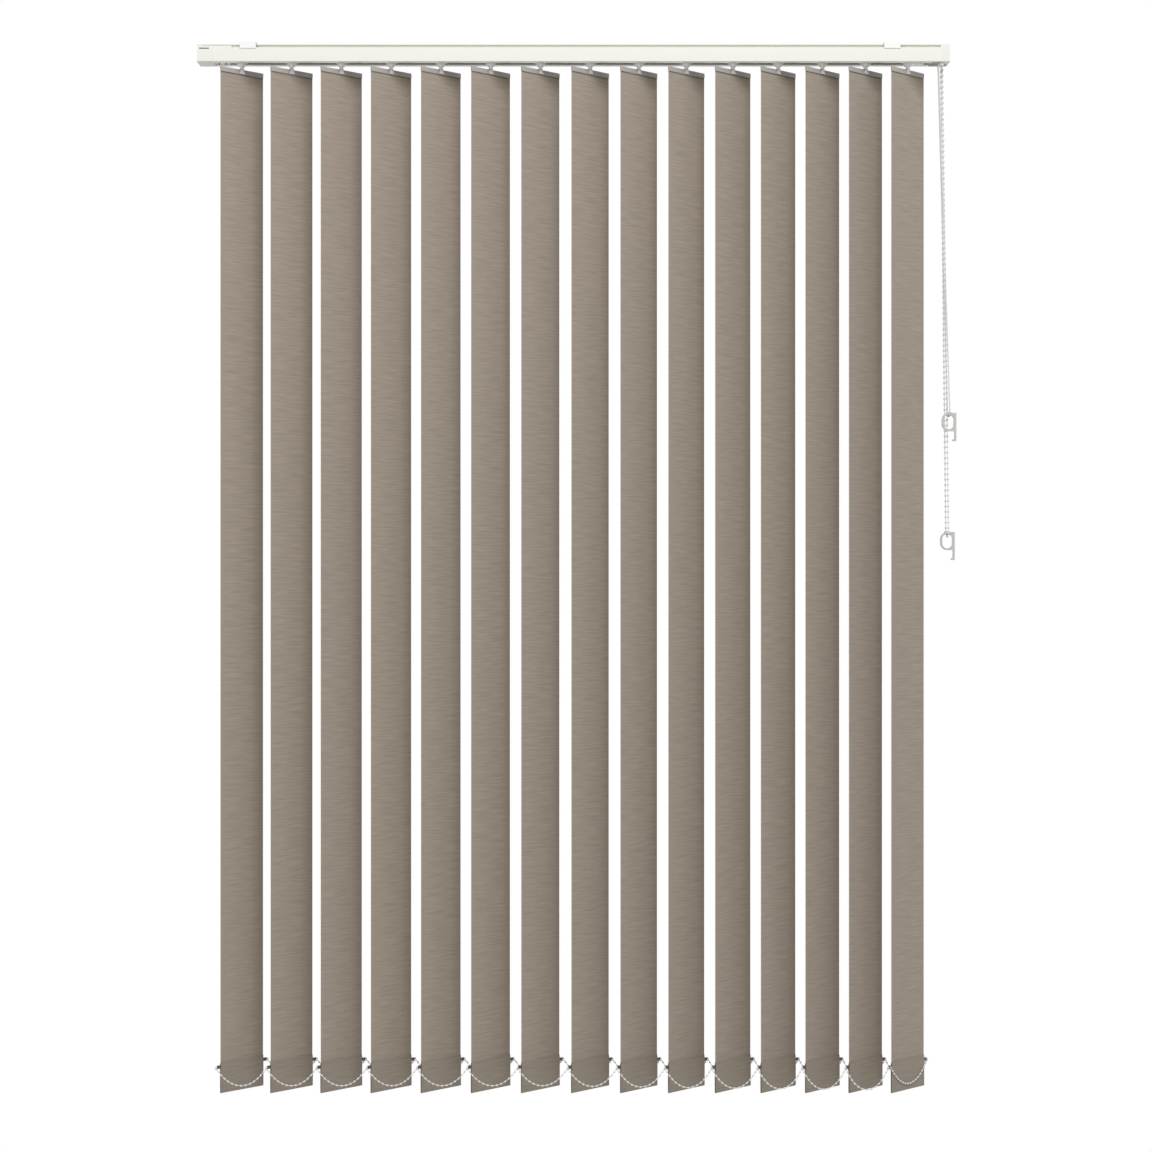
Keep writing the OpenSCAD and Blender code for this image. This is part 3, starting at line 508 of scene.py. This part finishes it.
wire(weave,
     (slub.outputs["Fac"], contrast.inputs["Value"]),
     (contrast.outputs["Result"], slub_colour.inputs["Factor"]),
     (along_cloth.outputs["UV"], up_cloth.inputs["Vector"]),
     (slub.outputs["Fac"], uneven.inputs[0]),
     (up_cloth.outputs["Y"], uneven.inputs[2]),
     (uneven.outputs["Value"], under_strip.inputs[0]),
     (uneven.outputs["Value"], stitching.inputs[0]),
     (up_cloth.outputs["Y"], painted_pocket_shade_mask.inputs[0]),
     (painted_pocket_shade_mask.outputs["Value"], pocket_shade.inputs[0]),
     (stitching.outputs["Value"], stitch_shade.inputs[0]),
     (pocket_shade.outputs["Value"], stitch_shade.inputs[2]),
     (under_strip.outputs["Value"], strip_shade.inputs[0]),
     (stitch_shade.outputs["Value"], strip_shade.inputs[2]),
     (strip_shade.outputs["Value"], shade_and_stitch_mix.inputs["Factor"]),
     (slub_colour.outputs[2], shade_and_stitch_mix.inputs[6]),
     (shade_and_stitch_mix.outputs[2], cloth_surface.inputs["Base Color"]),
     (slub.outputs["Fac"], heights.inputs[0]),
     (threads.outputs["Fac"], heights.inputs[1]),
     (heights.outputs["Value"], cloth_relief.inputs["Height"]),
     (cloth_relief.outputs["Normal"], cloth_surface.inputs["Normal"]))

sheet_height = vane_top - seam_z
bpy.ops.mesh.primitive_grid_add(x_subdivisions=10, y_subdivisions=30, size=1,
                                rotation=(radians(90), 0, 0),
                                location=(0, 0, vane_top - sheet_height / 2))
cloth = bpy.context.object
cloth.scale = (vane_width, sheet_height, 1)
bpy.ops.object.transform_apply(location=True, rotation=True, scale=True)
for vertex in cloth.data.vertices:
    vertex.select = vertex.co.z < seam_z + hairbreadth
for edge in cloth.data.edges:
    edge.select = all(cloth.data.vertices[v].select for v in edge.vertices)
for face in cloth.data.polygons:
    face.select = False
fold = [(pocket_half, seam_z - hem_height), (pocket_half, vane_bottom + crease_height)]
for k in range(fold_steps + 1):
    turn = pi * k / fold_steps
    fold.append((pocket_half * cos(turn), vane_bottom + pocket_half * (1 - sin(turn)) + fold_room))
fold += [(-pocket_half, vane_bottom + crease_height), (-pocket_half, seam_z - hem_height),
         (hem_front, seam_z)]
bpy.ops.object.mode_set(mode="EDIT")
bpy.ops.mesh.select_mode(type="EDGE")
last_y, last_z = 0, seam_z
for y, z in fold:
    bpy.ops.mesh.extrude_region_move(
        TRANSFORM_OT_translate={"value": (0, y - last_y, z - last_z)})
    last_y, last_z = y, z
bpy.ops.object.mode_set(mode="OBJECT")
sheet_uv = cloth.data.uv_layers.active or cloth.data.uv_layers.new(name="UVMap")
for loop in cloth.data.loops:
    spot = cloth.data.vertices[loop.vertex_index].co
    up = spot.z if spot.y > -hairbreadth else 2 * vane_bottom - spot.z
    sheet_uv.data[loop.index].uv = (spot.x, up)
thickness = cloth.modifiers.new("thickness", "SOLIDIFY")
thickness.thickness = cloth_thickness
thickness.offset = 0
bpy.ops.object.modifier_apply(modifier=thickness.name)
bpy.ops.object.shade_smooth_by_angle(angle=radians(40))
cloth.data.materials.append(vane_cloth)
for place, i in enumerate(vane_ids):
    vane = on_vane(cloth, i, "cloth")
    for corner in vane.data.uv_layers.active.data:
        corner.uv.x += place * next_on_roll
    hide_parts("vane_" + i)
bpy.data.objects.remove(cloth)

# Bottom weights
# A dark plastic plate lies in each pocket. A tab at each of its ends comes out of the pocket, and the
# bottom chains are clipped to the tabs.
weight_thickness, plate_rounding, tab_rounding = 0.0015, 0.0002, 0.0003
side_room, fold_to_plate, plate_to_hem = 0.001, 0.0016, 0.0005
plate_width = vane_width - 2 * side_room
plate_low, plate_high = vane_bottom + fold_to_plate, seam_z - hem_height - plate_to_hem
tab_height, tab_reach, tab_taper, tab_below_seam = 0.006, 0.052, 0.9, 0.008
tab_z = seam_z - tab_below_seam
weight_plastic = grained(
    "dark_plastic", colour=(0.13, 0.12, 0.11), shade=(0.1, 0.092, 0.085), roughness=(0.45, 0.6),
    scale=500)
plate = block((plate_width, weight_thickness, plate_high - plate_low),
              (0, 0, (plate_low + plate_high) / 2))
round_off(plate, plate_rounding, segments=2)
tab = block((2 * tab_reach, weight_thickness, tab_height), (0, 0, tab_z))
pick(tab, lambda face: abs(face.normal.x) > 0.5)
bpy.ops.transform.resize(value=(1, 1, tab_taper))
round_off(tab, tab_rounding)
weight = joined([plate, tab], "weight")
weight.data.materials.append(weight_plastic)
for i in vane_ids:
    on_vane(weight, i, "weight")
bpy.data.objects.remove(weight)

# Bottom chains
# White plastic bead chains, one along the front of the vanes and one along the back. They hang in
# equal swags from small rings on the tabs, with room to the cloth for when the vanes turn, and the
# front chain's last length lies across the end vane.
bead_diameter, bead_pitch, link_diameter = 0.0032, 0.0073, 0.001
swag_beads, end_beads = 14, 17
cloth_room, end_room, pocket_face = 0.0025, 0.0002, -0.0014
ring_radius, ring_wire, ring_stretch, ring_drop = 0.0013, 0.0004, 1.9, 0.0012
chain_plastic = grained(
    "chain_plastic", colour=(0.86, 0.86, 0.84), shade=(0.78, 0.78, 0.76), roughness=(0.25, 0.4),
    scale=700)


def bead_unit(name, bead, link, pitch):
    """One bead with its link to the next bead, standing on Z, and the same bead without a link."""
    collar, link_bared = 0.08 * bead, pitch - 0.7 * bead
    bpy.ops.mesh.primitive_uv_sphere_add(segments=12, ring_count=7, radius=bead / 2)
    ball = bpy.context.object
    for way in (-1, 1):
        pick(ball, lambda face: way * face.normal.z > 0.8)
        bpy.ops.mesh.extrude_region_move(TRANSFORM_OT_translate={"value": (0, 0, way * collar)})
    bpy.ops.object.mode_set(mode="OBJECT")
    bpy.ops.object.shade_smooth()
    ball.data.materials.append(chain_plastic)
    single = ball.copy()
    single.data = ball.data.copy()
    bpy.ops.mesh.primitive_cylinder_add(vertices=6, radius=link / 2, depth=link_bared,
                                        end_fill_type="NOTHING", location=(0, 0, pitch / 2))
    thread = bpy.context.object
    bpy.ops.object.shade_smooth()
    return joined([ball, thread], name), single


def string_up(unit, last, points, name):
    """Copies a bead to each point of a line, and another to its last, and joins them as a chain."""
    beads = []
    for at, after in zip(points, points[1:] + [2 * points[-1] - points[-2]]):
        along = (after - at).to_track_quat("Z", "Y").to_matrix().to_4x4()
        beads.append(placed_copy(last if at is points[-1] else unit,
                                 Matrix.Translation(at) @ along))
    return joined(beads, name)


def swag(start, end, count):
    """Points along a chain of so many beads that hangs between two points at one height."""
    span, length = (end - start).length, count * bead_pitch
    low, high = 0.001, 1.0
    for _ in range(50):
        size = (low + high) / 2
        if 2 * size * asinh(length / (2 * size)) > span:
            high = size
        else:
            low = size
    points = []
    for k in range(count + 1):
        run = length * (k / count - 0.5)
        drop = sqrt(size * size + length * length / 4) - sqrt(size * size + run * run)
        points.append(start.lerp(end, 0.5 + size * asinh(run / size) / span)
                      - Vector((0, 0, drop)))
    return points


swings = {joint["child"]: Vector(joint["pos_m"]) for joint in frame["joints"]
          if joint["name"].endswith("chain_swing")}
swag_bead, last_bead = bead_unit("swag_bead", bead_diameter, link_diameter, bead_pitch)
bpy.ops.mesh.primitive_torus_add(major_segments=20, minor_segments=6, major_radius=ring_radius,
                                 minor_radius=ring_wire, rotation=(radians(90), 0, 0),
                                 location=(0, 0, -ring_drop))
bpy.ops.transform.resize(value=(1, 1, ring_stretch))
tab_ring = joined([bpy.context.object], "tab_ring")
bpy.ops.object.shade_smooth()
tab_ring.data.materials.append(chain_plastic)
middle_axis = vane_axes["vane_08"]
for chain, clip in swings.items():
    tabs = [clip + vane_axes["vane_" + i] - middle_axis for i in vane_ids]
    outwards = Vector((0, -cloth_room if clip.y < middle_axis.y else cloth_room, 0))
    hung = [tab_end + outwards for tab_end in tabs]
    points = []
    for start, end in zip(hung, hung[1:]):
        points += swag(start, end, swag_beads)[:-1]
    rings = [placed_copy(tab_ring, Matrix.Translation(tab_end)) for tab_end in tabs]
    beads = string_up(swag_bead, last_bead, points + [hung[-1]], "beads")
    beads = joined([beads] + rings, chain.replace("bead_chain", "swags"))
    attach(beads, chain)
    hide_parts(chain)
    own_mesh(beads)
end_reach = tab_reach - bead_diameter / 2
end_front = pocket_face - bead_diameter / 2 - end_room
across_vane = swag(Vector((-end_reach, end_front, tab_z)), Vector((end_reach, end_front, tab_z)),
                   end_beads)
end_length = string_up(swag_bead, last_bead, across_vane, "end_length")
on_vane(end_length, vane_ids[-1], "chain_end")
for master in (end_length, swag_bead, last_bead, tab_ring):
    bpy.data.objects.remove(master)

# Control chain
# A longer loop of larger white beads runs over the chain wheel and under its hold-down clip. Pulling
# it turns the tilt rod and, with it, all the vanes.
control_bead, control_link, control_beads = 0.0038, 0.0012, 182
loop_twist = 0.25
wheel_middle = sum(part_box("chain_wheel"), Vector()) / 2
wheel_radius, saddle_radius = 0.0075, 0.0055
saddle = Vector((0.60512, wheel_middle.y, -0.783))
fall = Vector((saddle.x - wheel_middle.x, saddle_radius - wheel_radius, saddle.z - wheel_middle.z))
over_wheel, under_saddle = pi / 2 * wheel_radius, pi / 2 * saddle_radius
half_loop = over_wheel + fall.length + under_saddle


def on_half(t):
    """A point of the loop's back half, a length t from the top of the wheel."""
    if t < over_wheel:
        turn = t / wheel_radius
        return wheel_middle + wheel_radius * Vector((0, sin(turn), cos(turn)))
    if t < over_wheel + fall.length:
        return wheel_middle + Vector((0, wheel_radius, 0)) + (t - over_wheel) / fall.length * fall
    turn = (t - over_wheel - fall.length) / saddle_radius
    return saddle + saddle_radius * Vector((0, cos(turn), -sin(turn)))


def on_loop(k):
    """The place of a bead. The front half mirrors the back, and the loop twists on its way down."""
    t = 2 * half_loop * k / control_beads
    spot = on_half(t if t <= half_loop else 2 * half_loop - t)
    off_middle = (spot.y - wheel_middle.y) * (1 if t <= half_loop else -1)
    fallen = min(max((wheel_middle.z - spot.z) / (wheel_middle.z - saddle.z), 0), 1)
    return Vector((spot.x - loop_twist * fallen * off_middle, wheel_middle.y + off_middle, spot.z))


loop_bead, lone_bead = bead_unit("loop_bead", control_bead, control_link,
                                 2 * half_loop / control_beads)
pull_chain = string_up(loop_bead, loop_bead, [on_loop(k) for k in range(control_beads)],
                       "pull_chain")
for master in (loop_bead, lone_bead):
    bpy.data.objects.remove(master)
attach(pull_chain, "headrail")
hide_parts("control_chain")

# Hold-down clips
# Two P-shaped clips moulded in white plastic, screwed to the side of the window recess. Their saddles
# keep the cord and the bead chain stretched.
clip_rounding = 0.0005
# Painted shade: the clips' white plastic is coloured mid grey, for the shade on their sideways faces.
clip_plastic = grained(
    "clip_plastic", colour=(0.58, 0.58, 0.565), shade=(0.52, 0.52, 0.505), roughness=(0.3, 0.45),
    scale=450)
for clip, name in (("cord_clip", "cord_hold_down"), ("chain_clip", "chain_hold_down")):
    softened(clip, name, clip_plastic, clip_rounding)

# Studio
# A pale floor under the hung blind, one broad lamp from the upper right and a weaker one from the
# left. The world is white to the camera and a plain grey light to the blind.
floor_gap, floor_middle_y, floor_size = 0.22, -0.9, (5, 2, 1)
grey_light, white_seen = 0.45, 1
bpy.ops.mesh.primitive_plane_add(size=1, location=(0, floor_middle_y, cad_box[0].z - floor_gap))
floor = bpy.context.object
floor.name = "floor"
floor.scale = floor_size
floor.data.materials.append(grained(
    "floor_paint", colour=(0.74, 0.74, 0.74), shade=(0.72, 0.72, 0.72), roughness=(0.7, 0.8),
    scale=20))


def lamp(name, place, size, power):
    """A broad soft lamp that points at the middle of the blind."""
    light = bpy.data.lights.new(name, "AREA")
    light.shape = "DISK"
    light.size = size
    light.energy = power
    holder = bpy.data.objects.new(name, light)
    holder.location = place
    holder.rotation_euler = (view_middle - Vector(place)).to_track_quat("-Z", "Y").to_euler()
    bpy.context.collection.objects.link(holder)


lamp("key", place=(0.7, -3.0, 2.4), size=2.4, power=105)
lamp("fill", place=(-2.8, -2.6, 0.2), size=2.4, power=22)
world = bpy.data.worlds.new("studio")
bpy.context.scene.world = world
world.use_nodes = True
sky = world.node_tree
sky.nodes["Background"].inputs["Color"].default_value = (1, 1, 1, 1)
ray = sky.nodes.new("ShaderNodeLightPath")
camera_or_gloss = maths(sky, "MAXIMUM")
seen = maths(sky, "MAXIMUM")
strength = sky.nodes.new("ShaderNodeMapRange")
strength.inputs["To Min"].default_value = grey_light
strength.inputs["To Max"].default_value = white_seen
wire(sky,
     (ray.outputs["Is Camera Ray"], camera_or_gloss.inputs[0]),
     (ray.outputs["Is Glossy Ray"], camera_or_gloss.inputs[1]),
     (camera_or_gloss.outputs["Value"], seen.inputs[0]),
     (ray.outputs["Is Transmission Ray"], seen.inputs[1]),
     (seen.outputs["Value"], strength.inputs["Value"]),
     (strength.outputs["Result"], sky.nodes["Background"].inputs["Strength"]))
